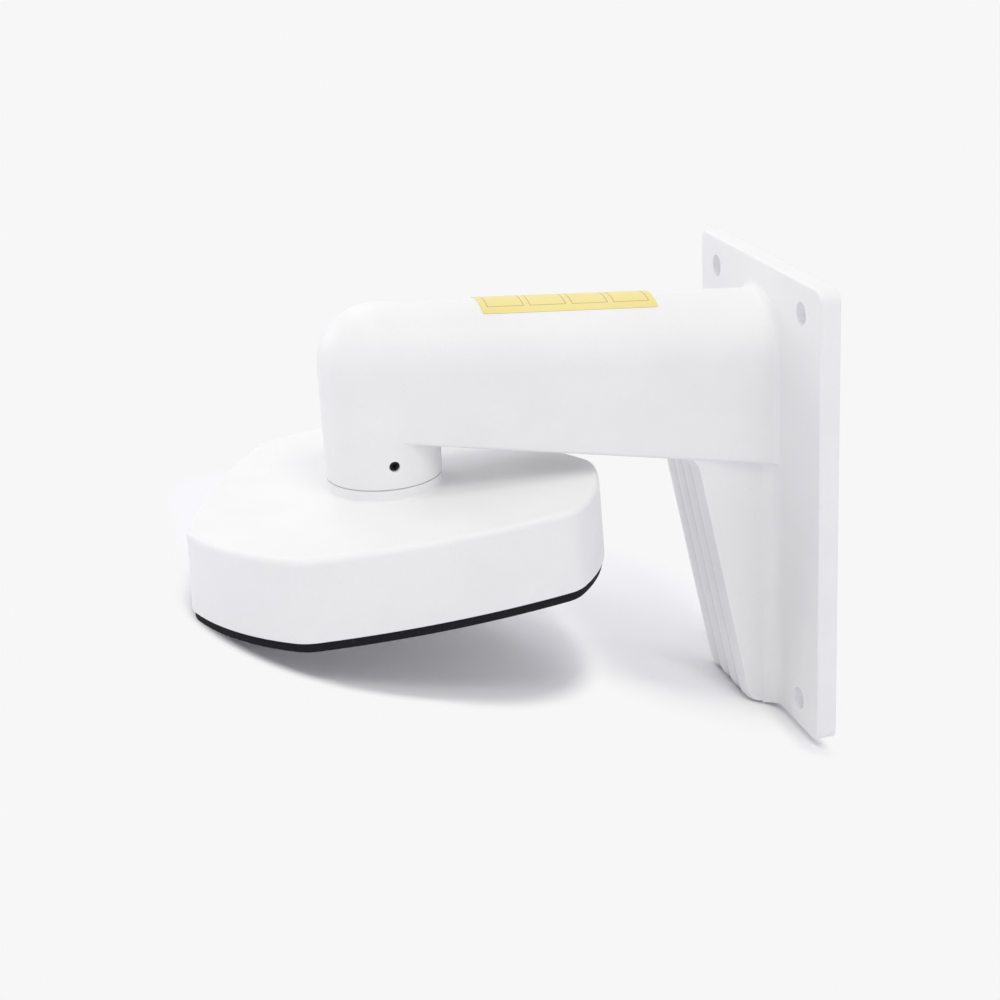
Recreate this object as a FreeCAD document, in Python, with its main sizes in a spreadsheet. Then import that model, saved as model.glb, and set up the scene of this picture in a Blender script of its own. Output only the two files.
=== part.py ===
import FreeCAD, Part
import math
import os
import re
import Sketcher
from FreeCAD import Placement, Rotation, Vector

# Wall bracket for a camera: a hollow die-cast arm with its wall plate, a screwed-on adapter cap
# with a rubber ring, the set screw that locks the cap, and a label on the arm.
# Frame: the origin is the centre of the plate's back face, which lies on the wall. +Z is up,
# the arm points along -Y, and X runs along the plate's width.

# Driving dimensions, in millimetres and degrees
DIMENSIONS = {
    # Wall plate
    "plate_width": 124.0,
    "plate_height": 184.4,
    "plate_depth": 8.0,
    "plate_face": 3.5,
    "plate_rim": 3.5,
    "plate_corner": 5.0,
    "plate_edge": 1.0,
    "hole_across": 88.0,
    "hole_up": 160.0,
    "hole_size": 9.0,
    "hole_boss": 17.0,
    "rib_width": 2.5,
    # Arm, elbow and neck
    "reach": 163.1,
    "arm_radius": 22.6,
    "casting_wall": 2.8,
    "crown_root": 56.9,
    "crown_elbow": 69.0,
    "under_root": 11.3,
    "under_elbow": 42.2,
    "arm_edge": 1.5,
    "neck_foot": 24.5,
    "neck_edge": 0.3,
    "root_fillet": 3.0,
    # Gusset with its reeded front
    "gusset_top": 26.0,
    "gusset_front_top": 44.5,
    "gusset_front_foot": 21.0,
    "gusset_half_front": 21.9,
    "gusset_half_root": 18.3,
    "gusset_half_foot": 21.5,
    "gusset_drop": 91.5,
    "gusset_fillet": 6.5,
    "gusset_foot_radius": 8.0,
    "gusset_floor": 12.0,
    "reed_count": 4,
    "reed_depth": 1.2,
    "reed_gap": 0.4,
    "reed_corner": 0.3,
    "reed_backing": 2.4,
    "cove_radius": 10.0,
    "cove_run": 6.0,
    "cove_sweep": 67.0,
    # Screwed joint between neck and cap
    "thread_radius": 17.5,
    "thread_length": 18.0,
    "thread_gap": 0.2,
    "collar_radius": 22.5,
    "collar_height": 5.0,
    "joint_groove": 0.35,
    "collar_fillet": 1.0,
    "cable_bore": 13.0,
    "cap_turn": 6.2,
    # Adapter cap
    "cap_height": 31.4,
    "cap_lobe": 83.2,
    "cap_flat_reach": 69.06,
    "cap_flat_radius": 300.0,
    "cap_corner": 14.2,
    "cap_draft": 1.24,
    "cap_edge": 2.5,
    "cap_wall": 2.6,
    "seat_width": 9.0,
    "seat_height": 4.0,
    "spigot_boss": 20.5,
    "spigot_boss_height": 9.0,
    "camera_screw_reach": 60.0,
    "camera_screw_size": 4.0,
    "camera_screw_depth": 12.0,
    "camera_screw_count": 3,
    "camera_boss": 10.0,
    "cap_rib_height": 12.0,
    "cap_rib_count": 6,
    # Rubber ring in the cap's rim
    "ring_inset": 0.9,
    "ring_width": 5.2,
    "ring_proud": 4.0,
    "ring_groove": 1.5,
    "ring_edge": 0.8,
    "ring_gap": 0.1,
    # Set screw
    "set_screw_size": 4.0,
    "set_screw_length": 4.0,
    "set_screw_height": 33.5,
    "set_screw_socket": 2.0,
    "set_screw_gap": 0.05,
    "set_screw_chamfer": 0.4,
    # Label on the arm's crown
    "label_length": 69.8,
    "label_start": 53.2,
    "label_half_angle": 30.8,
    "label_thickness": 0.2,
    "label_gap": 0.02,
}

LINE_START = 1
LINE_END = 2
ARC_CENTRE = 3
ROOT = (-1, 1)

doc = FreeCAD.newDocument("CameraWallBracket")

sheet = doc.addObject("Spreadsheet::Sheet", "dims")
for row, (name, size) in enumerate(DIMENSIONS.items(), start=1):
    sheet.set(f"A{row}", name)
    sheet.set(f"B{row}", str(size))
    sheet.setAlias(f"B{row}", name)
doc.recompute()


def bound(text):
    """The expression with each dimension's name pointing at its cell."""
    return re.sub(r"[a-z_]+", lambda m: "dims." + m[0] if m[0] in DIMENSIONS else m[0], text)


def value(text):
    """The number that an expression in the dimensions' names gives now."""
    result = sheet.evalExpression(bound(text))
    return float(getattr(result, "Value", result))


def point(pair):
    return Vector(value(pair[0]), value(pair[1]), 0)


def plane(body, role):
    """One of the body's own origin planes."""
    return next(item for item in body.Origin.OriginFeatures if item.Role == role)


def add_sketch(body, name, role, offset="0", shift=("0", "0")):
    """A sketch on an origin plane, moved along the plane's normal and within it."""
    sketch = body.newObject("Sketcher::SketchObject", name)
    sketch.AttachmentSupport = [(plane(body, role), "")]
    sketch.MapMode = "FlatFace"
    for axis, text in zip("xyz", (*shift, offset)):
        sketch.setExpression(f"AttachmentOffset.Base.{axis}", bound(text))
    doc.recompute()
    return sketch


def constrain(sketch, *terms, text=None):
    """Adds one constraint, bound to an expression where text gives it."""
    if text is None:
        return sketch.addConstraint(Sketcher.Constraint(*terms))
    index = sketch.addConstraint(Sketcher.Constraint(*terms, value(text)))
    sketch.setExpression(f"Constraints[{index}]", bound(text))
    return index


def pin(sketch, item, end, pair):
    """Holds a point of a sketch item at a pair of expressions."""
    constrain(sketch, "DistanceX", *ROOT, item, end, text=pair[0])
    constrain(sketch, "DistanceY", *ROOT, item, end, text=pair[1])


def arc_between(start, end, centre, turn):
    """An arc from start to end about centre; turn is 1 anticlockwise, -1 clockwise."""
    radius = (start - centre).Length
    first, last = (start, end) if turn > 0 else (end, start)
    angles = [math.atan2(spot.y - centre.y, spot.x - centre.x) for spot in (first, last)]
    circle = Part.Circle(centre, Vector(0, 0, 1), radius)
    return Part.ArcOfCircle(circle, *angles)


def outline(sketch, steps):
    """A closed outline. Each step is (x, y) for a line's end, or (x, y, centre x, centre y, turn)
    for an arc's end, all as expressions, and the last step's end is the first one's start."""
    ends = [point(step) for step in steps]
    joints = []
    for index, step in enumerate(steps):
        start, end = ends[index - 1], ends[index]
        if len(step) == 2:
            item = sketch.addGeometry(Part.LineSegment(start, end))
            joints.append((item, LINE_START, LINE_END))
            continue
        item = sketch.addGeometry(arc_between(start, end, point(step[2:4]), step[4]))
        joints.append((item, 1, 2) if step[4] > 0 else (item, 2, 1))
        chord = end - start
        if abs(chord.x) >= abs(chord.y):
            constrain(sketch, "DistanceY", *ROOT, item, ARC_CENTRE, text=step[3])
        else:
            constrain(sketch, "DistanceX", *ROOT, item, ARC_CENTRE, text=step[2])
    for index, (item, _, end) in enumerate(joints):
        following = joints[(index + 1) % len(joints)]
        pin(sketch, item, end, steps[index][:2])
        constrain(sketch, "Coincident", item, end, following[0], following[1])
    doc.recompute()
    return sketch


def circle(sketch, radius, centre=("0", "0")):
    """A full circle of a radius expression about a pair of expressions."""
    item = sketch.addGeometry(Part.Circle(point(centre), Vector(0, 0, 1), value(radius)))
    pin(sketch, item, ARC_CENTRE, centre)
    constrain(sketch, "Radius", item, text=radius)
    doc.recompute()
    return sketch


def rectangle(sketch, width, height):
    """A plain rectangle about the sketch's origin."""
    x, y = f"({width}) / 2", f"({height}) / 2"
    return outline(sketch, [(x, y), (f"-{x}", y), (f"-{x}", f"-{y}"), (x, f"-{y}")])


def rounded_rectangle(sketch, width, height, corner):
    """A rectangle with rounded corners about the sketch's origin."""
    x, y, r = f"({width}) / 2", f"({height}) / 2", corner
    steps = []
    for across, up in ((1, -1), (1, 1), (-1, 1), (-1, -1)):
        near_x, far_x = f"{across} * ({x} - {r})", f"{across} * {x}"
        near_y, far_y = f"{up} * ({y} - {r})", f"{up} * {y}"
        first, last = (near_x, far_y), (far_x, near_y)
        if across * up > 0:
            first, last = last, first
        steps += [first, (*last, near_x, near_y, 1)]
    return outline(sketch, steps)


def lobed_outline(sketch, grow):
    """The cap's outline: three lobes on one circle, three slightly bowed flats between them and
    rounded corners, all moved outwards by the expression grow."""
    lobe, corner = value(f"cap_lobe + {grow}"), value(f"cap_corner + {grow}")
    bow = value(f"cap_flat_radius + {grow}")
    back = value("cap_flat_radius - cap_flat_reach")
    inner = lobe - corner
    spread = math.acos(((bow - corner) ** 2 - inner**2 - back**2) / (2 * inner * back))
    arcs = []
    for index in range(3):
        middle = 2 * math.pi * index / 3
        flat_centre = Vector(-back * math.cos(middle), -back * math.sin(middle), 0)
        corners = []
        for side in (-1, 1):
            angle = middle + side * spread
            centre = Vector(inner * math.cos(angle), inner * math.sin(angle), 0)
            toward_flat = (centre - flat_centre).normalize()
            meets_lobe = Vector(lobe * math.cos(angle), lobe * math.sin(angle), 0)
            corners.append((centre, meets_lobe, flat_centre + toward_flat * bow))
        (low, low_lobe, low_flat), (high, high_lobe, high_flat) = corners
        next_angle = middle + 2 * math.pi / 3 - spread
        next_lobe = Vector(lobe * math.cos(next_angle), lobe * math.sin(next_angle), 0)
        turn = f"{120 * index}"
        away = "(cap_flat_radius - cap_flat_reach)"
        flat_pair = (f"-{away} * cos({turn})", f"-{away} * sin({turn})")
        arcs.append((arc_between(low_lobe, low_flat, low, 1), None, f"cap_corner + {grow}"))
        arcs.append((arc_between(low_flat, high_flat, flat_centre, 1), flat_pair,
                     f"cap_flat_radius + {grow}"))
        arcs.append((arc_between(high_flat, high_lobe, high, 1), None, f"cap_corner + {grow}"))
        arcs.append((arc_between(high_lobe, next_lobe, Vector(0, 0, 0), 1), ("0", "0"),
                     f"cap_lobe + {grow}"))
    items = [sketch.addGeometry(arc) for arc, _, _ in arcs]
    for item, (_, centre, radius) in zip(items, arcs):
        if centre is not None:
            pin(sketch, item, ARC_CENTRE, centre)
        constrain(sketch, "Radius", item, text=radius)
    for index, item in enumerate(items):
        constrain(sketch, "Tangent", item, 2, items[(index + 1) % len(items)], 1)
    doc.recompute()
    return sketch


def add_feature(body, kind, name, sketch, **bindings):
    """A sketch-based feature whose sizes are bound to expressions."""
    feature = body.newObject(f"PartDesign::{kind}", name)
    feature.Profile = sketch
    for size, text in bindings.items():
        feature.setExpression(size, bound(text))
    return feature


def pad(body, name, sketch, length, reverse=False):
    feature = add_feature(body, "Pad", name, sketch, Length=length)
    feature.Reversed = reverse
    doc.recompute()
    return feature


def pocket(body, name, sketch, length, reverse=False, both_sides=False):
    """Cuts a sketch to a depth and checks that it took material away."""
    before = body.Shape.Volume
    feature = add_feature(body, "Pocket", name, sketch, Length=length)
    feature.Reversed = reverse
    feature.Midplane = both_sides
    doc.recompute()
    if body.Shape.Volume >= before:
        raise RuntimeError(f"{name} cut nothing")
    return feature


def turned(body, kind, name, sketch, angle=360):
    """A revolution or groove about the sketch's own upright axis; a half turn is the front half."""
    feature = add_feature(body, kind, name, sketch)
    feature.ReferenceAxis = (sketch, ["V_Axis"])
    feature.Angle = angle
    feature.Reversed = angle < 360
    doc.recompute()
    return feature


def loft(body, kind, name, first, last):
    feature = add_feature(body, kind, name, first)
    feature.Sections = [last]
    feature.Ruled = True
    doc.recompute()
    return feature


def around(body, feature, name, count):
    """Copies a feature evenly around the body's upright axis."""
    pattern = body.newObject("PartDesign::PolarPattern", name)
    pattern.Originals = [feature]
    axis = next(item for item in body.Origin.OriginFeatures if item.Role == "Z_Axis")
    pattern.Axis = (axis, [""])
    pattern.Angle = 360
    pattern.Occurrences = int(value(count))
    body.Tip = pattern
    doc.recompute()
    return pattern


def round_edges(body, name, base, radius, chosen):
    """Fillets the base feature's edges that the test chooses."""
    names = [f"Edge{index}" for index, edge in enumerate(base.Shape.Edges, start=1) if chosen(edge)]
    if not names:
        raise RuntimeError(f"{name} finds no edge")
    feature = body.newObject("PartDesign::Fillet", name)
    feature.Base = (base, names)
    feature.setExpression("Radius", bound(radius))
    doc.recompute()
    return feature


def add_body(label):
    body = doc.addObject("PartDesign::Body", label)
    body.Label = label
    return body


# Arm casting


def height_at(name, y):
    """Height of a sloping line of the arm at a distance y from the wall, as an expression."""
    return f"({name}_root + ({name}_elbow - {name}_root) * ({y}) / reach)"


def arch_section(body, name, y, inset="0", edge=None):
    """The arm's upright section at a distance y from the wall: flat sides, flat underside and a
    half-round crown. Where edge is given, it rounds the two lower edges."""
    sketch = add_sketch(body, name, "XZ_Plane", offset=y)
    half = f"(arm_radius - {inset})"
    low = f"({height_at('under', y)} + {inset})"
    crown = height_at("crown", y)
    if edge is None:
        foot = [(f"-{half}", low), (half, low)]
    else:
        near, raised = f"({half} - {edge})", f"({low} + {edge})"
        foot = [(f"-{half}", raised), (f"-{near}", low, f"-{near}", raised, 1),
                (near, low), (half, raised, near, raised, 1)]
    return outline(sketch, [(half, crown), (f"-{half}", crown, "0", crown, 1), *foot])


FRONT_SLOPE = "((gusset_front_top - gusset_front_foot) / (gusset_top + gusset_drop))"


def gusset_front(z):
    """Distance of the gusset's front line from the wall at a height z, as an expression."""
    return f"(gusset_front_foot + {FRONT_SLOPE} * ({z} + gusset_drop))"


def gusset_root(z):
    """Half the gusset's width where it meets the plate's fillet, at a height z."""
    share = f"(({z} + gusset_drop) / (gusset_top + gusset_drop))"
    return f"(gusset_half_foot + (gusset_half_root - gusset_half_foot) * {share})"


def gusset_section(body, name, z):
    """The gusset's level section at a height z, behind its reeds: it widens towards the front, and
    hollow fillets join it to the plate."""
    sketch = add_sketch(body, name, "XY_Plane", offset=z)
    front = f"({gusset_front(z)} - reed_depth - reed_backing / 2)"
    strip = f"({front} - reed_backing / 2)"
    half_front, half_root = "gusset_half_front", gusset_root(z)
    start, wide = "(plate_depth + gusset_fillet)", f"({half_root} + gusset_fillet)"
    return outline(sketch, [
        (wide, "-plate_depth / 2"), (f"-{wide}", "-plate_depth / 2"), (f"-{wide}", "-plate_depth"),
        (f"-{half_root}", f"-{start}", f"-{wide}", f"-{start}", -1),
        (f"-{half_front}", f"-{strip}"), (f"-{half_front}", f"-{front}"),
        (half_front, f"-{front}"), (half_front, f"-{strip}"), (half_root, f"-{start}"),
        (wide, "-plate_depth", wide, f"-{start}", -1)])


def gusset_way_section(body, name, z):
    """The level section of the gusset's hollow, open towards the wall."""
    sketch = add_sketch(body, name, "XY_Plane", offset=z)
    front = f"({gusset_front(z)} - reed_depth - casting_wall)"
    half_front, half_root = "(gusset_half_front - casting_wall)", f"({gusset_root(z)} - casting_wall)"
    start = "(plate_depth + gusset_fillet)"
    return outline(sketch, [
        (half_root, "0"), (f"-{half_root}", "0"), (f"-{half_root}", f"-{start}"),
        (f"-{half_front}", f"-{front}"), (half_front, f"-{front}"), (half_root, f"-{start}")])


def add_plate(body):
    """The wall plate, before its back is hollowed."""
    sketch = add_sketch(body, "plate_outline", "XZ_Plane")
    rounded_rectangle(sketch, "plate_width", "plate_height", "plate_corner")
    plate = pad(body, "plate", sketch, "plate_depth")
    depth = value("plate_depth")
    front_edges = lambda edge: all(abs(corner.Y + depth) < 1e-6 for corner in edge.Vertexes)
    round_edges(body, "plate_edge_round", plate, "plate_edge", front_edges)


def add_arm(body):
    """The arm, its round elbow and its upright neck."""
    root = arch_section(body, "arm_root", "0", edge="arm_edge")
    end = arch_section(body, "arm_end", "reach", edge="arm_edge")
    arm = loft(body, "AdditiveLoft", "arm", root, end)
    depth, widest = value("plate_depth"), value("arm_radius") + 1
    on_root = lambda edge: all(abs(corner.Y + depth) < 1e-6 and abs(corner.X) < widest and corner.Z > 0
                               for corner in edge.Vertexes)
    round_edges(body, "root_round", arm, "root_fillet", on_root)
    profile = add_sketch(body, "elbow_profile", "XZ_Plane", offset="reach")
    outline(profile, [
        ("arm_radius", "neck_foot + neck_edge"),
        ("arm_radius", "crown_elbow"), ("0", "crown_elbow + arm_radius", "0", "crown_elbow", 1),
        ("0", "neck_foot + neck_edge")])
    turned(body, "Revolution", "elbow", profile, angle=180)
    profile = add_sketch(body, "neck_profile", "XZ_Plane", offset="reach")
    outline(profile, [
        ("arm_radius - neck_edge", "neck_foot"), ("arm_radius", "neck_foot + neck_edge"),
        ("arm_radius", "under_elbow + arm_edge"), ("0", "under_elbow + arm_edge"), ("0", "neck_foot")])
    turned(body, "Revolution", "neck", profile)


def add_gusset(body):
    """The gusset under the arm, up to the inner side of its reeded front."""
    low = gusset_section(body, "gusset_low", "(-gusset_drop)")
    high = gusset_section(body, "gusset_high", "gusset_top")
    loft(body, "AdditiveLoft", "gusset", low, high)


def add_reeds(body):
    """Round reeds side by side down the gusset's front. They sweep out of the arm's underside through
    a cove, run down the sloping front and follow the round foot until they end under the plate."""
    foot, slope = "(-gusset_drop)", FRONT_SLOPE
    radius, lean = "gusset_foot_radius", f"sqrt(1 + {slope}^2)"
    centre = (f"-(gusset_front_foot + {slope} * {radius}) + {radius} * {lean}", f"{foot} + {radius}")
    leaves_front = (f"{centre[0]} - {radius} / {lean}", f"{centre[1]} - {radius} * {slope} / {lean}")
    core_radius = "(gusset_foot_radius - reed_depth - reed_backing / 2)"
    core_leaves = (f"{centre[0]} - {core_radius} / {lean}",
                   f"{centre[1]} - {core_radius} * {slope} / {lean}")
    far, low = "-(gusset_front_foot + gusset_foot_radius)", f"({foot} - gusset_foot_radius)"
    corner = add_sketch(body, "foot_corner", "YZ_Plane")
    outline(corner, [
        (centre[0], low), (centre[0], f"{centre[1]} - {core_radius}"),
        (*core_leaves, *centre, -1), (far, core_leaves[1]), (far, low)])
    pocket(body, "foot_round", corner, "2 * gusset_half_front + 2 * gusset_fillet", both_sides=True)

    under_slope = "((under_elbow - under_root) / reach)"
    meets_out = f"({gusset_front('under_root')} / (1 - {slope} * {under_slope}))"
    meets_up = f"(under_root + {under_slope} * {meets_out})"
    leaves_cove = (f"(-{meets_out} + cove_run * {slope} / {lean})", f"({meets_up} - cove_run / {lean})")
    cove = (f"({leaves_cove[0]} - cove_radius / {lean})",
            f"({leaves_cove[1]} - cove_radius * {slope} / {lean})")
    turn = f"(atan({slope}) + cove_sweep * 1 deg)"
    cove_end = (f"({cove[0]} + cove_radius * cos({turn}))", f"({cove[1]} + cove_radius * sin({turn}))")
    path = add_sketch(body, "reed_path", "YZ_Plane")
    path.addGeometry(arc_between(point((centre[0], foot)), point(leaves_front), point(centre), -1))
    path.addGeometry(Part.LineSegment(point(leaves_front), point(leaves_cove)))
    path.addGeometry(arc_between(point(leaves_cove), point(cove_end), point(cove), 1))
    pin(path, 0, ARC_CENTRE, centre)
    pin(path, 0, LINE_END, (centre[0], foot))
    pin(path, 1, LINE_END, leaves_cove)
    constrain(path, "Coincident", 0, LINE_START, 1, LINE_START)
    constrain(path, "Tangent", 1, LINE_END, 2, LINE_START)
    pin(path, 2, LINE_END, cove_end)
    doc.recompute()

    profile = add_sketch(body, "reed_profile", "XZ_Plane", offset=f"-({centre[0]})")
    valley, base = f"({foot} + reed_depth)", f"({foot} + reed_depth + reed_backing)"
    inner = "(gusset_half_front - reed_corner)"
    about = f"(({inner} - (reed_count - 1) * reed_gap / 2) / reed_count)"
    spread = f"({about}^2 + reed_depth^2)"
    outer = f"({inner} + reed_corner * 2 * {about} * reed_depth / {spread})"
    edge = f"({valley} + reed_corner * ({about}^2 - reed_depth^2) / {spread})"
    chord = f"((2 * {outer} - (reed_count - 1) * reed_gap) / reed_count)"
    bow = f"(({chord}^2 / 4 + reed_depth^2) / (2 * reed_depth))"
    steps = [("gusset_half_front", base), ("-gusset_half_front", base), ("-gusset_half_front", edge),
             (f"-{outer}", valley, f"-{inner}", edge, 1)]
    count = int(value("reed_count"))
    for index in range(count):
        start = f"-{outer} + ({chord} + reed_gap) * {index}"
        steps.append((f"{start} + {chord}", valley, f"{start} + {chord} / 2", f"{foot} + {bow}", 1))
        if index < count - 1:
            steps.append((f"{start} + {chord} + reed_gap", valley))
    steps.append(("gusset_half_front", edge, inner, edge, 1))
    outline(profile, steps)
    reeds = add_feature(body, "AdditivePipe", "reeds", profile)
    reeds.Spine = (path, ["Edge1", "Edge2", "Edge3"])
    doc.recompute()


def hollow_plate(body):
    """The plate's hollow back, with its screw bosses and ribs, and the wall screws' holes."""
    sketch = add_sketch(body, "recess_outline", "XZ_Plane")
    rounded_rectangle(sketch, "(plate_width - 2 * plate_rim)", "(plate_height - 2 * plate_rim)",
                      "(plate_corner - plate_rim)")
    pocket(body, "recess", sketch, "plate_depth - plate_face", reverse=True)
    sketch = add_sketch(body, "boss_circles", "XZ_Plane")
    places = [(f"{x} * hole_across / 2", f"{z} * hole_up / 2") for x in (-1, 1) for z in (-1, 1)]
    for place in places:
        circle(sketch, "hole_boss / 2", place)
    pad(body, "bosses", sketch, "plate_depth - plate_face / 2")
    for side in (-1, 1):
        upright = add_sketch(body, "upright_rib_outline", "XZ_Plane",
                             shift=(f"{side} * hole_across / 2", "0"))
        rectangle(upright, "rib_width", "plate_height - plate_rim")
        pad(body, "upright_rib", upright, "plate_depth - plate_face / 2")
        level = add_sketch(body, "level_rib_outline", "XZ_Plane", shift=("0", f"{side} * hole_up / 2"))
        rectangle(level, "plate_width - plate_rim", "rib_width")
        pad(body, "level_rib", level, "plate_depth - plate_face / 2")
    sketch = add_sketch(body, "hole_circles", "XZ_Plane")
    for place in places:
        circle(sketch, "hole_size / 2", place)
    pocket(body, "wall_holes", sketch, "3 * plate_depth", both_sides=True)


def hollow_arm(body):
    """The cable's way: through the back into the arm and gusset, and down through the neck."""
    root = arch_section(body, "way_root", "0", "casting_wall")
    end = arch_section(body, "way_end", "reach", "casting_wall")
    loft(body, "SubtractiveLoft", "cable_way", root, end)
    foot = gusset_way_section(body, "gusset_way_low", "(gusset_floor - gusset_drop)")
    top = gusset_way_section(body, "gusset_way_high", "gusset_top")
    loft(body, "SubtractiveLoft", "gusset_way", foot, top)
    bore, inside = "(thread_radius + thread_gap)", "(arm_radius - casting_wall)"
    thread_top = "(neck_foot + thread_length + casting_wall)"
    profile = add_sketch(body, "elbow_way_profile", "XZ_Plane", offset="reach")
    outline(profile, [
        (bore, thread_top), (inside, f"{thread_top} + {inside} - {bore}"),
        (inside, "crown_elbow"), ("0", f"crown_elbow + {inside}", "0", "crown_elbow", 1),
        ("0", thread_top)])
    turned(body, "Groove", "elbow_way", profile, angle=180)
    opening = add_sketch(body, "neck_way_circle", "XY_Plane", offset="neck_foot", shift=("0", "-reach"))
    neck_way = circle(opening, bore)
    pocket(body, "neck_way", neck_way, f"{thread_top} - neck_foot", reverse=True)
    screw = add_sketch(body, "set_screw_circle", "YZ_Plane", offset="arm_radius + casting_wall")
    circle(screw, "set_screw_size / 2 + set_screw_gap", ("-reach", "set_screw_height"))
    pocket(body, "set_screw_hole", screw, "arm_radius + casting_wall - thread_radius")


def add_arm_casting():
    body = add_body("arm_casting")
    add_plate(body)
    add_arm(body)
    add_gusset(body)
    add_reeds(body)
    hollow_plate(body)
    hollow_arm(body)
    return body


# Adapter cap, whose own origin is on the neck's axis at the neck's foot


CAP_TOP = "(-collar_height)"
CAP_CEILING = "(-collar_height - cap_wall)"
CAP_RIM = "(-collar_height - cap_height)"


def add_cap_shell(body):
    """The cap's drafted shell, its collar and the threaded spigot."""
    top = lobed_outline(add_sketch(body, "cap_top", "XY_Plane", offset=CAP_TOP), "0")
    rim = lobed_outline(add_sketch(body, "cap_rim", "XY_Plane", offset=CAP_RIM), "cap_draft")
    loft(body, "AdditiveLoft", "shell", top, rim)
    collar = circle(add_sketch(body, "collar_circle", "XY_Plane", offset=CAP_TOP), "collar_radius")
    pad(body, "collar", collar, "collar_height - joint_groove")
    seat = circle(add_sketch(body, "seat_circle", "XY_Plane", offset=CAP_TOP),
                  "(collar_radius - 2 * joint_groove)")
    pad(body, "seat", seat, "collar_height")
    spigot = circle(add_sketch(body, "spigot_circle", "XY_Plane"), "thread_radius")
    pad(body, "spigot", spigot, "thread_length")
    level = value(CAP_TOP)
    split = (value("collar_radius") + value("cap_flat_reach")) / 2

    def on_top(edge):
        return all(abs(corner.Z - level) < 1e-6 for corner in edge.Vertexes)

    def reach_of(edge):
        spot = edge.Vertexes[0]
        return math.hypot(spot.X, spot.Y)

    round_edges(body, "shell_round", body.Tip, "cap_edge",
                lambda edge: on_top(edge) and reach_of(edge) > split)
    round_edges(body, "collar_round", body.Tip, "collar_fillet",
                lambda edge: on_top(edge) and reach_of(edge) < split)


def hollow_cap(body):
    """The cap's inside: open below, with a wider rim for the rubber ring."""
    seat = "(-collar_height - cap_height + seat_height)"
    draft_at_seat = "cap_draft * (cap_height - seat_height) / cap_height"
    ceiling = lobed_outline(add_sketch(body, "inside_top", "XY_Plane", offset=CAP_CEILING), "(-cap_wall)")
    lower = lobed_outline(add_sketch(body, "inside_low", "XY_Plane", offset=seat),
                          f"({draft_at_seat} - cap_wall)")
    loft(body, "SubtractiveLoft", "inside", ceiling, lower)
    mouth = lobed_outline(add_sketch(body, "mouth_outline", "XY_Plane", offset=CAP_RIM),
                          "(cap_draft - seat_width)")
    pocket(body, "mouth", mouth, "2 * seat_height", reverse=True)
    groove = add_sketch(body, "ring_groove_outline", "XY_Plane", offset=CAP_RIM)
    lobed_outline(groove, "(cap_draft - ring_inset + ring_gap)")
    lobed_outline(groove, "(cap_draft - ring_inset - ring_width - ring_gap)")
    pocket(body, "ring_groove", groove, "ring_groove", reverse=True)


def fit_cap_inside(body):
    """The boss round the cable's bore, the camera screws' bosses and the ribs."""
    boss = circle(add_sketch(body, "centre_boss_circle", "XY_Plane", offset=CAP_CEILING), "spigot_boss")
    pad(body, "centre_boss", boss, "spigot_boss_height", reverse=True)
    rib = add_sketch(body, "rib_outline", "XY_Plane", offset=CAP_CEILING)
    start, end, half = "(spigot_boss - rib_width)", "(cap_flat_reach - cap_wall / 2)", "(rib_width / 2)"
    outline(rib, [(start, f"-{half}"), (end, f"-{half}"), (end, half), (start, half)])
    around(body, pad(body, "rib", rib, "cap_rib_height", reverse=True), "ribs", "cap_rib_count")
    place = ("camera_screw_reach * cos(60)", "camera_screw_reach * sin(60)")
    post = circle(add_sketch(body, "camera_boss_circle", "XY_Plane", offset=CAP_CEILING),
                  "camera_boss / 2", place)
    posts = pad(body, "camera_boss", post, "cap_height - cap_wall", reverse=True)
    around(body, posts, "camera_bosses", "camera_screw_count")
    hole = circle(add_sketch(body, "camera_hole_circle", "XY_Plane", offset=CAP_RIM),
                  "camera_screw_size / 2", place)
    drilled = pocket(body, "camera_hole", hole, "camera_screw_depth", reverse=True)
    around(body, drilled, "camera_holes", "camera_screw_count")
    bore = circle(add_sketch(body, "bore_circle", "XY_Plane", offset="thread_length"), "cable_bore")
    pocket(body, "bore", bore, "thread_length + collar_height + cap_wall + spigot_boss_height")


def place_on_neck(body):
    """Sets a body of the cap on the neck's axis, turned as the thread left it."""
    body.Placement = Placement(Vector(0, 0, 0), Rotation(Vector(0, 0, 1), value("cap_turn")))
    body.setExpression("Placement.Base.y", bound("-reach"))
    body.setExpression("Placement.Base.z", bound("neck_foot"))
    body.setExpression("Placement.Rotation.Angle", bound("cap_turn * 1 deg"))


def add_adapter_cap():
    body = add_body("adapter_cap")
    add_cap_shell(body)
    hollow_cap(body)
    fit_cap_inside(body)
    place_on_neck(body)
    return body


# Rubber ring, in the cap's frame


def add_cap_gasket():
    body = add_body("cap_gasket")
    sketch = add_sketch(body, "ring_outline", "XY_Plane", offset=f"{CAP_RIM} + ring_groove")
    lobed_outline(sketch, "(cap_draft - ring_inset)")
    lobed_outline(sketch, "(cap_draft - ring_inset - ring_width)")
    ring = pad(body, "ring", sketch, "ring_groove + ring_proud", reverse=True)
    lowest = value(f"{CAP_RIM} - ring_proud")
    on_bottom = lambda edge: all(abs(corner.Z - lowest) < 1e-6 for corner in edge.Vertexes)
    round_edges(body, "ring_round", ring, "ring_edge", on_bottom)
    place_on_neck(body)
    return body


# Set screw, modelled upright with its tip at its own origin


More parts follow.
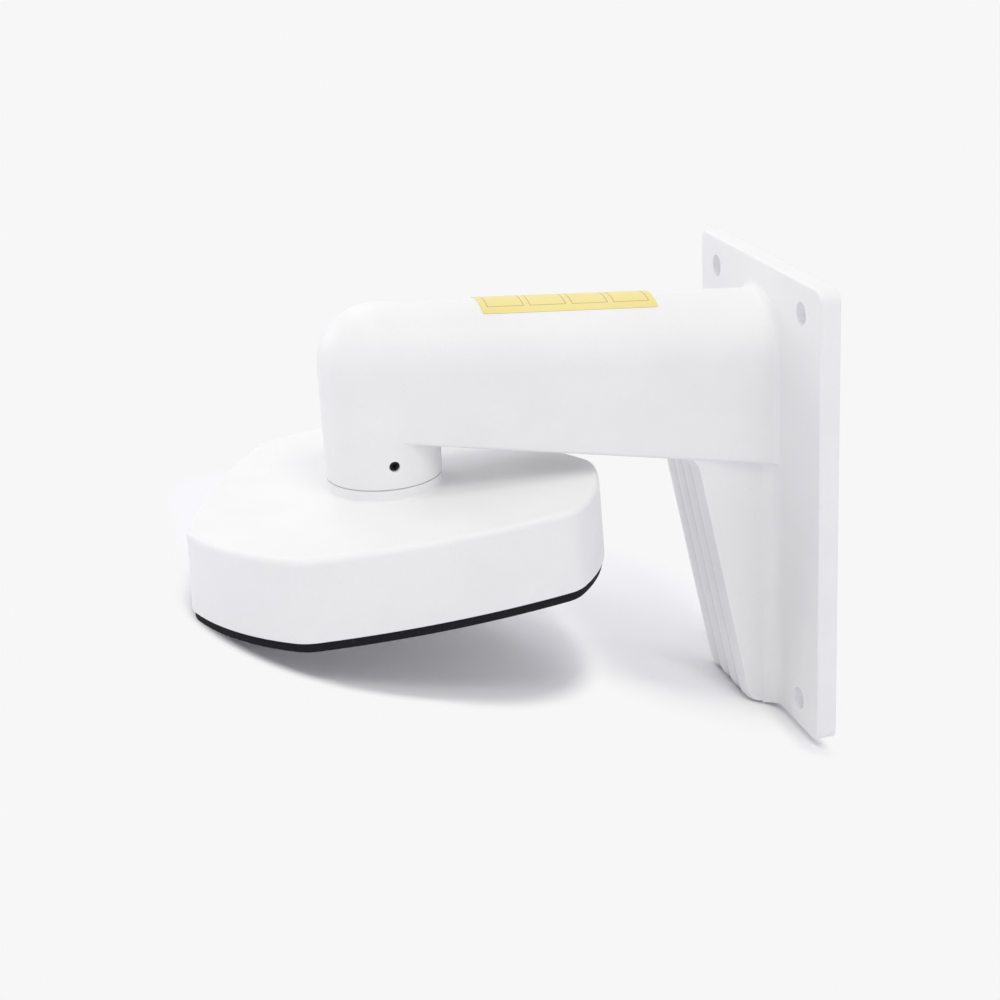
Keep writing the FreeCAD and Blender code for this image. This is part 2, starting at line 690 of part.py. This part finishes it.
def add_set_screw():
    body = add_body("set_screw")
    radius, chamfer, length = "(set_screw_size / 2)", "set_screw_chamfer", "set_screw_length"
    profile = add_sketch(body, "screw_profile", "XZ_Plane")
    outline(profile, [
        (f"{radius} - {chamfer}", "0"), (radius, chamfer), (radius, f"{length} - {chamfer}"),
        (f"{radius} - {chamfer}", length), ("0", length), ("0", "0")])
    turned(body, "Revolution", "shank", profile)
    socket = add_sketch(body, "socket_outline", "XY_Plane", offset=length)
    across = "(set_screw_socket / 2 / cos(30))"
    outline(socket, [(f"{across} * cos({60 * i})", f"{across} * sin({60 * i})") for i in range(6)])
    pocket(body, "socket", socket, "set_screw_length / 2")
    body.Placement = Placement(Vector(0, 0, 0), Rotation(Vector(0, 1, 0), 90))
    body.setExpression("Placement.Base.x", bound("thread_radius"))
    body.setExpression("Placement.Base.y", bound("-reach"))
    body.setExpression("Placement.Base.z", bound("set_screw_height"))
    return body


# Label on the arm's crown


def label_section(body, name, y):
    """The label's section at a distance y from the wall, bent over the crown."""
    sketch = add_sketch(body, name, "XZ_Plane", offset=y)
    crown, angle = height_at("crown", y), "label_half_angle"
    low, high = "(arm_radius + label_gap)", "(arm_radius + label_gap + label_thickness)"
    return outline(sketch, [
        (f"{high} * sin({angle})", f"{crown} + {high} * cos({angle})"),
        (f"-{high} * sin({angle})", f"{crown} + {high} * cos({angle})", "0", crown, 1),
        (f"-{low} * sin({angle})", f"{crown} + {low} * cos({angle})"),
        (f"{low} * sin({angle})", f"{crown} + {low} * cos({angle})", "0", crown, -1)])


def add_label():
    body = add_body("label")
    near = label_section(body, "label_near", "label_start")
    far = label_section(body, "label_far", "(label_start + label_length)")
    loft(body, "AdditiveLoft", "film", near, far)
    return body


parts = [add_arm_casting(), add_adapter_cap(), add_cap_gasket(), add_set_screw(), add_label()]
doc.recompute()

for item in doc.Objects:
    if "Invalid" in item.State or "Error" in item.State:
        raise RuntimeError(f"{item.Name} failed: {item.State}")

os.makedirs("parts", exist_ok=True)
for body in parts:
    shape = body.Shape
    if shape.isNull() or not shape.isValid():
        raise RuntimeError(f"{body.Label} has no valid shape")
    shape.exportStep(f"parts/{body.Label}.step")
    print(body.Label, len(shape.Solids), round(shape.Volume))
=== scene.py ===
import math
import bmesh
import bpy
from mathutils import Matrix, Vector


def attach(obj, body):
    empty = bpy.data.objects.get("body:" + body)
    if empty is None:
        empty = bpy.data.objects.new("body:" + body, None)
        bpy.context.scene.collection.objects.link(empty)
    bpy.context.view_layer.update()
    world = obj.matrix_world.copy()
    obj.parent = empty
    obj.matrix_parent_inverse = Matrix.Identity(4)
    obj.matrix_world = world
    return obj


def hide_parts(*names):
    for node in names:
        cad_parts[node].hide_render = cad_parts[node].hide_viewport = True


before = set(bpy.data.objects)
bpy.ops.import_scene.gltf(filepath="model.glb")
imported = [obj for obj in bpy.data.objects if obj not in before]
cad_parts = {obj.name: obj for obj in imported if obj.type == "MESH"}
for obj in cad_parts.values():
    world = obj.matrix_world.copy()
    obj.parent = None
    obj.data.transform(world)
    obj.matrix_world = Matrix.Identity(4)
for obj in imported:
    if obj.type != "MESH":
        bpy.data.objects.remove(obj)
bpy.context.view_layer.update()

# Frame: metres, origin at the centre of the wall plate's back, +Z up, the arm along -Y.
# The bracket is seen lying down, on its gusset's foot and the far edge of the cap's rubber ring.

MILLIMETRE = 0.001

# Sizes of the solids, which the label and the painted shade between the reeds follow

REACH = 163.1 * MILLIMETRE
CROWN_RADIUS = 22.6 * MILLIMETRE
CROWN_ROOT = 56.9 * MILLIMETRE
CROWN_ELBOW = 69.0 * MILLIMETRE
REED_PITCH = 10.965 * MILLIMETRE

# Colours

COAT_DULL = (0.872, 0.872, 0.875, 1)
COAT_PALE = (0.896, 0.896, 0.898, 1)
COAT_SPECK = (0.80, 0.80, 0.81, 1)
COAT_EDGE = (0.90, 0.90, 0.90, 1)
# Painted shade that darkens the grooves between the gusset's reeds
COAT_GROOVE_SHADE = (0.45, 0.45, 0.46, 1)
RUBBER_DARK = (0.008, 0.007, 0.009, 1)
RUBBER_LIGHT = (0.014, 0.013, 0.016, 1)
RUBBER_DUST = (0.30, 0.30, 0.31, 1)
STEEL_BLACK = (0.020, 0.020, 0.022, 1)
STEEL_WORN = (0.22, 0.22, 0.23, 1)
FILM_DEEP = (0.862, 0.733, 0.278, 1)
FILM_PALE = (0.885, 0.762, 0.310, 1)
FILM_INK = (0.42, 0.25, 0.19, 1)
FLOOR_DULL = (0.925, 0.925, 0.945, 1)
FLOOR_PALE = (0.938, 0.938, 0.958, 1)
SKY_LIGHT = (0.760, 0.758, 0.802, 1)
BACKDROP = (0.93, 0.93, 0.93, 1)


# Shader building


def new_material(name):
    """A node material with only its Principled shader and output."""
    material = bpy.data.materials.new(name)
    material.use_nodes = True
    tree = material.node_tree
    tree.nodes.clear()
    output = tree.nodes.new("ShaderNodeOutputMaterial")
    shader = tree.nodes.new("ShaderNodeBsdfPrincipled")
    tree.links.new(shader.outputs["BSDF"], output.inputs["Surface"])
    return material, tree, shader, output


def new_group(name, inputs, outputs):
    """A shader group; inputs and outputs are (name, socket kind, default) rows."""
    tree = bpy.data.node_groups.new(name, "ShaderNodeTree")
    for title, kind, default in inputs:
        socket = tree.interface.new_socket(name=title, in_out="INPUT", socket_type=kind)
        if default is not None:
            socket.default_value = default
    for title, kind in outputs:
        tree.interface.new_socket(name=title, in_out="OUTPUT", socket_type=kind)
    return tree, tree.nodes.new("NodeGroupInput"), tree.nodes.new("NodeGroupOutput")


def put(tree, socket, value):
    """Links an output, or writes a plain value, into an input socket."""
    if isinstance(value, bpy.types.NodeSocket):
        tree.links.new(value, socket)
    else:
        socket.default_value = value


def use_group(tree, group, **values):
    node = tree.nodes.new("ShaderNodeGroup")
    node.node_tree = group
    for name, value in values.items():
        put(tree, node.inputs[name.replace("_", " ")], value)
    return node


def calculate(tree, operation, *values):
    node = tree.nodes.new("ShaderNodeMath")
    node.operation = operation
    for socket, value in zip(node.inputs, values):
        put(tree, socket, value)
    return node.outputs[0]


def remap(tree, value, low, high, new_low, new_high, smooth=True):
    """Maps a value from one range to another, and holds it there."""
    node = tree.nodes.new("ShaderNodeMapRange")
    node.interpolation_type = "SMOOTHSTEP" if smooth else "LINEAR"
    for socket, item in zip(node.inputs, (value, low, high, new_low, new_high)):
        put(tree, socket, item)
    return node.outputs[0]


def blend_colour(tree, factor, first, second):
    node = tree.nodes.new("ShaderNodeMix")
    node.data_type = "RGBA"
    put(tree, node.inputs[0], factor)
    put(tree, node.inputs[6], first)
    put(tree, node.inputs[7], second)
    return node.outputs[2]


def object_point(tree):
    return tree.nodes.new("ShaderNodeTexCoord").outputs["Object"]


def noise(tree, point, size, detail=2.0, roughness=0.5):
    """Smooth noise whose features are about size metres wide."""
    node = tree.nodes.new("ShaderNodeTexNoise")
    put(tree, node.inputs["Vector"], point)
    node.inputs["Scale"].default_value = 1.0 / size
    node.inputs["Detail"].default_value = detail
    node.inputs["Roughness"].default_value = roughness
    return node.outputs["Fac"]


def seen_directly(tree):
    """1 for what the camera sees itself, in a reflection or through glass, and 0 for light."""
    path = tree.nodes.new("ShaderNodeLightPath")
    seen = calculate(tree, "MAXIMUM", path.outputs["Is Camera Ray"], path.outputs["Is Glossy Ray"])
    return calculate(tree, "MAXIMUM", seen, path.outputs["Is Transmission Ray"])


def grain_group():
    """Fine bumps of two sizes, and a slow mottling, on the object's own coordinates."""
    tree, given, made = new_group("surface_grain", [
        ("Coarse Size", "NodeSocketFloat", 0.0016), ("Fine Size", "NodeSocketFloat", 0.0004),
        ("Coarse Share", "NodeSocketFloat", 0.6)], [
        ("Height", "NodeSocketFloat"), ("Mottle", "NodeSocketFloat"), ("Speck", "NodeSocketFloat")])
    point = object_point(tree)

    def sized(size_socket, detail):
        node = tree.nodes.new("ShaderNodeTexNoise")
        put(tree, node.inputs["Vector"], point)
        put(tree, node.inputs["Scale"], calculate(tree, "DIVIDE", 1.0, size_socket))
        node.inputs["Detail"].default_value = detail
        return node.outputs["Fac"]

    coarse, fine = sized(given.outputs["Coarse Size"], 1.0), sized(given.outputs["Fine Size"], 2.0)
    share = given.outputs["Coarse Share"]
    height = calculate(tree, "MULTIPLY", coarse, share)
    rest = calculate(tree, "MULTIPLY", fine, calculate(tree, "SUBTRACT", 1.0, share))
    put(tree, made.inputs["Height"], calculate(tree, "ADD", height, rest))
    put(tree, made.inputs["Mottle"], noise(tree, point, 0.030, detail=3.0))
    specks = noise(tree, point, 0.0009, detail=1.0)
    put(tree, made.inputs["Speck"], remap(tree, specks, 0.62, 0.72, 0.0, 1.0))
    return tree


def edge_group():
    """The normal with its sharp edges softened, and a mask of those edges."""
    tree, given, made = new_group("soft_edges", [("Radius", "NodeSocketFloat", 0.0006)], [
        ("Normal", "NodeSocketVector"), ("Edge", "NodeSocketFloat")])
    bevel = tree.nodes.new("ShaderNodeBevel")
    bevel.samples = 6
    put(tree, bevel.inputs["Radius"], given.outputs["Radius"])
    geometry = tree.nodes.new("ShaderNodeNewGeometry")
    dot = tree.nodes.new("ShaderNodeVectorMath")
    dot.operation = "DOT_PRODUCT"
    put(tree, dot.inputs[0], bevel.outputs[0])
    put(tree, dot.inputs[1], geometry.outputs["Normal"])
    put(tree, made.inputs["Normal"], bevel.outputs[0])
    put(tree, made.inputs["Edge"], remap(tree, dot.outputs["Value"], 0.995, 0.80, 0.0, 1.0))
    return tree


GRAIN = grain_group()
EDGES = edge_group()


def bump(tree, height, distance, normal=None):
    node = tree.nodes.new("ShaderNodeBump")
    node.inputs["Distance"].default_value = distance
    put(tree, node.inputs["Height"], height)
    if normal is not None:
        put(tree, node.inputs["Normal"], normal)
    return node.outputs["Normal"]


# Where the painted groove shade lies: half widths of a groove's painted shade, and the ends of the reeds

REED_GROOVE = 0.3 * MILLIMETRE
REED_SHADE_EDGE = 1.5 * MILLIMETRE
REEDS_NEAREST_WALL = -13 * MILLIMETRE
REEDS_FARTHEST = -50 * MILLIMETRE
REEDS_TOP = 20 * MILLIMETRE


def painted_reed_groove_shade(tree):
    """A mask of painted shade in the grooves between the reeds of the gusset's front."""
    split = tree.nodes.new("ShaderNodeSeparateXYZ")
    put(tree, split.inputs[0], object_point(tree))
    across, along, up = split.outputs
    beside = calculate(tree, "PINGPONG", across, REED_PITCH / 2)
    mask = remap(tree, beside, REED_GROOVE, REED_SHADE_EDGE, 1.0, 0.0)
    inside = calculate(tree, "LESS_THAN", calculate(tree, "ABSOLUTE", across), 1.5 * REED_PITCH)
    mask = calculate(tree, "MULTIPLY", mask, inside)
    mask = calculate(tree, "MULTIPLY", mask, calculate(tree, "LESS_THAN", along, REEDS_NEAREST_WALL))
    mask = calculate(tree, "MULTIPLY", mask, calculate(tree, "GREATER_THAN", along, REEDS_FARTHEST))
    return calculate(tree, "MULTIPLY", mask, calculate(tree, "LESS_THAN", up, REEDS_TOP))


def powder_coat(name, reeds=False):
    """White powder coat on a casting: a faint orange peel, softened edges, slow changes of tone, and
    painted shade in the reeds' grooves where asked.
    """
    material, tree, shader, _ = new_material(name)
    grain = use_group(tree, GRAIN, Coarse_Size=0.0019, Fine_Size=0.00042, Coarse_Share=0.72)
    edges = use_group(tree, EDGES, Radius=0.0003)
    tone = remap(tree, grain.outputs["Mottle"], 0.3, 0.7, 0.0, 1.0)
    colour = blend_colour(tree, tone, COAT_DULL, COAT_PALE)
    specks = calculate(tree, "MULTIPLY", grain.outputs["Speck"], 0.25)
    colour = blend_colour(tree, specks, colour, COAT_SPECK)
    wear = calculate(tree, "MULTIPLY", edges.outputs["Edge"], 0.35)
    colour = blend_colour(tree, wear, colour, COAT_EDGE)
    # Painted shade: the grooves between the gusset's reeds are darkened in the coat's colour.
    if reeds:
        dust_and_shade = calculate(tree, "MULTIPLY", painted_reed_groove_shade(tree), 0.16)
        colour = blend_colour(tree, dust_and_shade, colour, COAT_GROOVE_SHADE)
    put(tree, shader.inputs["Base Color"], colour)
    rough = remap(tree, grain.outputs["Mottle"], 0.25, 0.75, 0.40, 0.50)
    put(tree, shader.inputs["Roughness"], rough)
    peel = bump(tree, grain.outputs["Height"], 0.000035, edges.outputs["Normal"])
    put(tree, shader.inputs["Normal"], peel)
    shader.inputs["Specular IOR Level"].default_value = 0.35
    return material


def ring_rubber():
    """Black moulded rubber with a dull skin and a little dust."""
    material, tree, shader, _ = new_material("gasket_rubber")
    grain = use_group(tree, GRAIN, Coarse_Size=0.0012, Fine_Size=0.0003, Coarse_Share=0.4)
    edges = use_group(tree, EDGES, Radius=0.0004)
    colour = blend_colour(tree, grain.outputs["Mottle"], RUBBER_DARK, RUBBER_LIGHT)
    dust_and_shade = calculate(tree, "MULTIPLY", grain.outputs["Speck"], 0.05)
    colour = blend_colour(tree, dust_and_shade, colour, RUBBER_DUST)
    put(tree, shader.inputs["Base Color"], colour)
    put(tree, shader.inputs["Roughness"], remap(tree, grain.outputs["Mottle"], 0.3, 0.7, 0.58, 0.74))
    skin = bump(tree, grain.outputs["Height"], 0.00005, edges.outputs["Normal"])
    put(tree, shader.inputs["Normal"], skin)
    shader.inputs["Specular IOR Level"].default_value = 0.12
    return material


def black_steel():
    """Blackened screw steel with a fine grain and bright wear on its edges."""
    material, tree, shader, _ = new_material("screw_steel")
    grain = use_group(tree, GRAIN, Coarse_Size=0.0006, Fine_Size=0.00012, Coarse_Share=0.3)
    edges = use_group(tree, EDGES, Radius=0.00012)
    wear = calculate(tree, "MULTIPLY", edges.outputs["Edge"], 0.5)
    put(tree, shader.inputs["Base Color"], blend_colour(tree, wear, STEEL_BLACK, STEEL_WORN))
    put(tree, shader.inputs["Roughness"], remap(tree, grain.outputs["Mottle"], 0.3, 0.7, 0.32, 0.50))
    marks = bump(tree, grain.outputs["Height"], 0.00001, edges.outputs["Normal"])
    put(tree, shader.inputs["Normal"], marks)
    shader.inputs["Metallic"].default_value = 0.85
    return material


# Label on the crown

LABEL_START = 53.2 * MILLIMETRE
LABEL_LENGTH = 69.8 * MILLIMETRE
LABEL_HALF_ANGLE = math.radians(30.8)
LABEL_GAP = 0.02 * MILLIMETRE
LABEL_THICKNESS = 0.2 * MILLIMETRE
LABEL_CORNER = 0.9 * MILLIMETRE
LABEL_STRIP = CROWN_RADIUS * math.radians(2.0)
LABEL_MIDDLE = -(LABEL_START + LABEL_LENGTH / 2)
SHARP_ANGLE = math.radians(35)
PANEL_PITCH = 16.75 * MILLIMETRE
PANEL_HALF_LENGTH = 7.05 * MILLIMETRE
PANEL_HALF_WIDTH = 8.1 * MILLIMETRE
PANEL_LINE = 0.30 * MILLIMETRE
PANEL_REACH = 1.99 * PANEL_PITCH


def label_film():
    """Yellow film with four plain panels in thin printed lines."""
    material, tree, shader, _ = new_material("label_film")
    split = tree.nodes.new("ShaderNodeSeparateXYZ")
    put(tree, split.inputs[0], object_point(tree))
    across = calculate(tree, "SUBTRACT", calculate(tree, "ABSOLUTE", split.outputs["X"]), PANEL_HALF_WIDTH)
    along = calculate(tree, "SUBTRACT", split.outputs["Y"], LABEL_MIDDLE)
    along = calculate(tree, "MAXIMUM", along, -PANEL_REACH)
    along = calculate(tree, "MINIMUM", along, PANEL_REACH)
    along = calculate(tree, "WRAP", along, PANEL_PITCH, 0.0)
    along = calculate(tree, "ABSOLUTE", calculate(tree, "SUBTRACT", along, PANEL_PITCH / 2))
    along = calculate(tree, "SUBTRACT", along, PANEL_HALF_LENGTH)
    from_frame = calculate(tree, "ABSOLUTE", calculate(tree, "MAXIMUM", across, along))
    ink = remap(tree, from_frame, PANEL_LINE * 0.35, PANEL_LINE * 0.65, 1.0, 0.0)
    grain = use_group(tree, GRAIN, Coarse_Size=0.0011, Fine_Size=0.00018, Coarse_Share=0.3)
    ink = calculate(tree, "MULTIPLY", ink, remap(tree, grain.outputs["Height"], 0.35, 0.55, 0.6, 0.95))
    tone = remap(tree, grain.outputs["Mottle"], 0.3, 0.7, 0.0, 1.0)
    colour = blend_colour(tree, tone, FILM_DEEP, FILM_PALE)
    colour = blend_colour(tree, ink, colour, FILM_INK)
    put(tree, shader.inputs["Base Color"], colour)
    put(tree, shader.inputs["Roughness"], remap(tree, grain.outputs["Mottle"], 0.3, 0.7, 0.34, 0.46))
    put(tree, shader.inputs["Normal"], bump(tree, grain.outputs["Height"], 0.00001))
    return material


def finish_mesh(name, bm, material):
    """Turns a bmesh into an object with smooth faces and a material."""
    mesh = bpy.data.meshes.new(name)
    bm.normal_update()
    bm.to_mesh(mesh)
    bm.free()
    piece = bpy.data.objects.new(name, mesh)
    bpy.context.scene.collection.objects.link(piece)
    mesh.materials.append(material)
    mesh.polygons.foreach_set("use_smooth", [True] * len(mesh.polygons))
    mesh.set_sharp_from_angle(angle=SHARP_ANGLE)
    return piece


def make_label():
    """The film with rounded corners, bent over the crown and sloping with it."""
    bm = bmesh.new()
    half_width, half_length = LABEL_HALF_ANGLE * CROWN_RADIUS, LABEL_LENGTH / 2
    bmesh.ops.create_grid(bm, x_segments=1, y_segments=1, size=1.0)
    bmesh.ops.scale(bm, vec=(half_width, half_length, 1), verts=bm.verts)
    bmesh.ops.bevel(bm, geom=list(bm.verts), offset=LABEL_CORNER, segments=5, profile=0.5,
                    affect="VERTICES", material=-1)
    count = int(half_width / LABEL_STRIP)
    for index in range(-count, count + 1):
        bmesh.ops.bisect_plane(bm, geom=bm.verts[:] + bm.edges[:] + bm.faces[:],
                               plane_co=(index * LABEL_STRIP, 0, 0), plane_no=(1, 0, 0))
    bmesh.ops.solidify(bm, geom=bm.faces[:], thickness=-LABEL_THICKNESS)
    bmesh.ops.recalc_face_normals(bm, faces=bm.faces[:])
    lowest = min(vert.co.z for vert in bm.verts)
    for vert in bm.verts:
        y = LABEL_MIDDLE + vert.co.y
        radius = CROWN_RADIUS + LABEL_GAP + vert.co.z - lowest
        angle = vert.co.x / CROWN_RADIUS
        crown = CROWN_ROOT + (CROWN_ELBOW - CROWN_ROOT) * -y / REACH
        vert.co = Vector((radius * math.sin(angle), y, crown + radius * math.cos(angle)))
    piece = finish_mesh("label_sheet", bm, label_film())
    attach(piece, "root")
    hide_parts("label")


# Finishes of the solids


def finish_solid(node, material):
    for material_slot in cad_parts[node].material_slots:
        material_slot.material = material


finish_solid("arm_casting", powder_coat("arm_paint", reeds=True))
finish_solid("adapter_cap", powder_coat("cap_paint"))
finish_solid("cap_gasket", ring_rubber())
finish_solid("set_screw", black_steel())

make_label()


# Floor, which leans because the bracket lies on its gusset's foot and on its cap's ring

FLOOR_LEAN = math.radians(18.44)
FLOOR_FOOT = Vector((0, -16.97, -91.09)) * MILLIMETRE
FLOOR_RADIUS = 2.6
FLOOR_FADE_START = 0.55
FLOOR_FADE_END = 1.5

# Places on the floor that keep the bracket's shadow: middle and half length across, place along,
# radius and soft width of a stadium shape, in millimetres
FLOOR_SHADOWS = (
    (-62, 47, -152, 76, 14),
    (5, 0, -175, 61, 10),
    (-60, 50, -18, 26, 45),
    (31, 31, 8, 3, 8),
)


def outside_shadow(tree, across, along, middle, half_length, place, radius, soft):
    """0 inside a stadium on the floor, rising softly to 1 outside it."""
    side = calculate(tree, "ABSOLUTE", calculate(tree, "SUBTRACT", across, middle * MILLIMETRE))
    side = calculate(tree, "MAXIMUM", calculate(tree, "SUBTRACT", side, half_length * MILLIMETRE), 0.0)
    up = calculate(tree, "SUBTRACT", along, place * MILLIMETRE)
    gap = calculate(tree, "ADD", calculate(tree, "POWER", side, 2.0), calculate(tree, "MULTIPLY", up, up))
    return remap(tree, calculate(tree, "SQRT", gap), radius * MILLIMETRE, (radius + soft) * MILLIMETRE,
                 0.0, 1.0)


def make_floor():
    bm = bmesh.new()
    bmesh.ops.create_circle(bm, cap_ends=True, segments=96, radius=FLOOR_RADIUS)
    lean = Matrix.Translation(FLOOR_FOOT) @ Matrix.Rotation(-FLOOR_LEAN, 4, "X")
    bmesh.ops.transform(bm, matrix=lean, verts=bm.verts)
    mesh = bpy.data.meshes.new("floor")
    bm.to_mesh(mesh)
    bm.free()
    floor = bpy.data.objects.new("floor", mesh)
    bpy.context.scene.collection.objects.link(floor)

    material, tree, shader, output = new_material("pale_floor")
    shader.inputs["Roughness"].default_value = 0.9
    shader.inputs["Specular IOR Level"].default_value = 0.1
    point = object_point(tree)
    split = tree.nodes.new("ShaderNodeSeparateXYZ")
    put(tree, split.inputs[0], point)
    across = split.outputs["X"]
    along = calculate(tree, "SUBTRACT", split.outputs["Y"], FLOOR_FOOT.y)
    along = calculate(tree, "DIVIDE", along, math.cos(FLOOR_LEAN))
    tone = noise(tree, point, 0.12, detail=3.0)
    put(tree, shader.inputs["Base Color"], blend_colour(tree, tone, FLOOR_DULL, FLOOR_PALE))
    clear = tree.nodes.new("ShaderNodeBsdfTransparent")
    backdrop = tree.nodes.new("ShaderNodeEmission")
    backdrop.inputs["Color"].default_value = BACKDROP
    length = tree.nodes.new("ShaderNodeVectorMath")
    length.operation = "LENGTH"
    put(tree, length.inputs[0], point)
    far = remap(tree, length.outputs["Value"], FLOOR_FADE_START, FLOOR_FADE_END, 0.0, 1.0)
    clear_of = 1.0
    for shadow in FLOOR_SHADOWS:
        clear_of = calculate(tree, "MULTIPLY", clear_of, outside_shadow(tree, across, along, *shadow))
    seen = seen_directly(tree)
    fade = tree.nodes.new("ShaderNodeMixShader")
    put(tree, fade.inputs[0], calculate(tree, "MAXIMUM", far, calculate(tree, "MULTIPLY", clear_of, seen)))
    put(tree, fade.inputs[1], shader.outputs[0])
    put(tree, fade.inputs[2], backdrop.outputs[0])
    geometry = tree.nodes.new("ShaderNodeNewGeometry")
    under = tree.nodes.new("ShaderNodeMixShader")
    put(tree, under.inputs[0], geometry.outputs["Backfacing"])
    put(tree, under.inputs[1], fade.outputs[0])
    put(tree, under.inputs[2], clear.outputs[0])
    put(tree, output.inputs["Surface"], under.outputs[0])
    mesh.materials.append(material)


make_floor()


# World: a pale backdrop for the camera and reflections, an even studio light for the rest


def make_world():
    world = bpy.data.worlds.new("studio")
    bpy.context.scene.world = world
    world.use_nodes = True
    tree = world.node_tree
    tree.nodes.clear()
    output = tree.nodes.new("ShaderNodeOutputWorld")
    light = tree.nodes.new("ShaderNodeBackground")
    light.inputs["Color"].default_value = SKY_LIGHT
    backdrop = tree.nodes.new("ShaderNodeBackground")
    backdrop.inputs["Color"].default_value = BACKDROP
    mix = tree.nodes.new("ShaderNodeMixShader")
    put(tree, mix.inputs[0], seen_directly(tree))
    put(tree, mix.inputs[1], light.outputs[0])
    put(tree, mix.inputs[2], backdrop.outputs[0])
    put(tree, output.inputs["Surface"], mix.outputs[0])


make_world()


# Lamps, with sizes and distances in metres and power in watts

LAMP_TARGET = Vector((0, -0.12, 0))
WHITE = (1.0, 1.0, 1.0)
CREAM = (1.0, 1.0, 0.86)
WARM = (1.0, 0.98, 0.80)


def add_lamp(name, toward, distance, size, power, colour):
    """A round soft lamp that shines at the arm from the direction given."""
    data = bpy.data.lights.new(name, "AREA")
    data.shape = "DISK"
    data.size = size
    data.energy = power
    data.color = colour
    lamp = bpy.data.objects.new(name, data)
    bpy.context.scene.collection.objects.link(lamp)
    direction = Vector(toward).normalized()
    turn = direction.to_track_quat("Z", "Y").to_matrix().to_4x4()
    lamp.matrix_world = Matrix.Translation(LAMP_TARGET + direction * distance) @ turn


add_lamp("overhead", (0.03, -0.08, 1), distance=2.6, size=0.4, power=6.1, colour=WARM)
add_lamp("high_side", (0.47, 0.11, 0.88), distance=1.8, size=0.6, power=4.6, colour=CREAM)
add_lamp("low_front", (-0.70, -0.63, 0.32), distance=1.8, size=0.6, power=2.9, colour=WHITE)
add_lamp("far_side", (-0.71, -0.07, 0.70), distance=1.8, size=0.6, power=2.3, colour=WHITE)


# Camera, at the photograph's place

CAMERA_PLACE = Vector((695.12, -289.75, 266.16)) * MILLIMETRE
CAMERA_RIGHT = Vector((0.257992, 0.964840, -0.050240))
CAMERA_DOWN = Vector((0.329157, -0.136666, -0.934333))
CAMERA_FORWARD = CAMERA_RIGHT.cross(CAMERA_DOWN)
FOCAL_PIXELS = 1915.35
IMAGE_PIXELS = 1000
MIDDLE_ROW = 523.5


def make_camera():
    data = bpy.data.cameras.new("camera")
    data.sensor_width = 36.0
    data.lens = data.sensor_width * FOCAL_PIXELS / IMAGE_PIXELS
    data.shift_y = (MIDDLE_ROW - IMAGE_PIXELS / 2) / IMAGE_PIXELS
    data.clip_start = 0.01
    camera = bpy.data.objects.new("camera", data)
    bpy.context.scene.collection.objects.link(camera)
    turn = Matrix((CAMERA_RIGHT, -CAMERA_DOWN, -CAMERA_FORWARD)).transposed()
    camera.matrix_world = Matrix.Translation(CAMERA_PLACE) @ turn.to_4x4()
    bpy.context.scene.camera = camera


make_camera()
bpy.context.scene.view_settings.view_transform = "Standard"
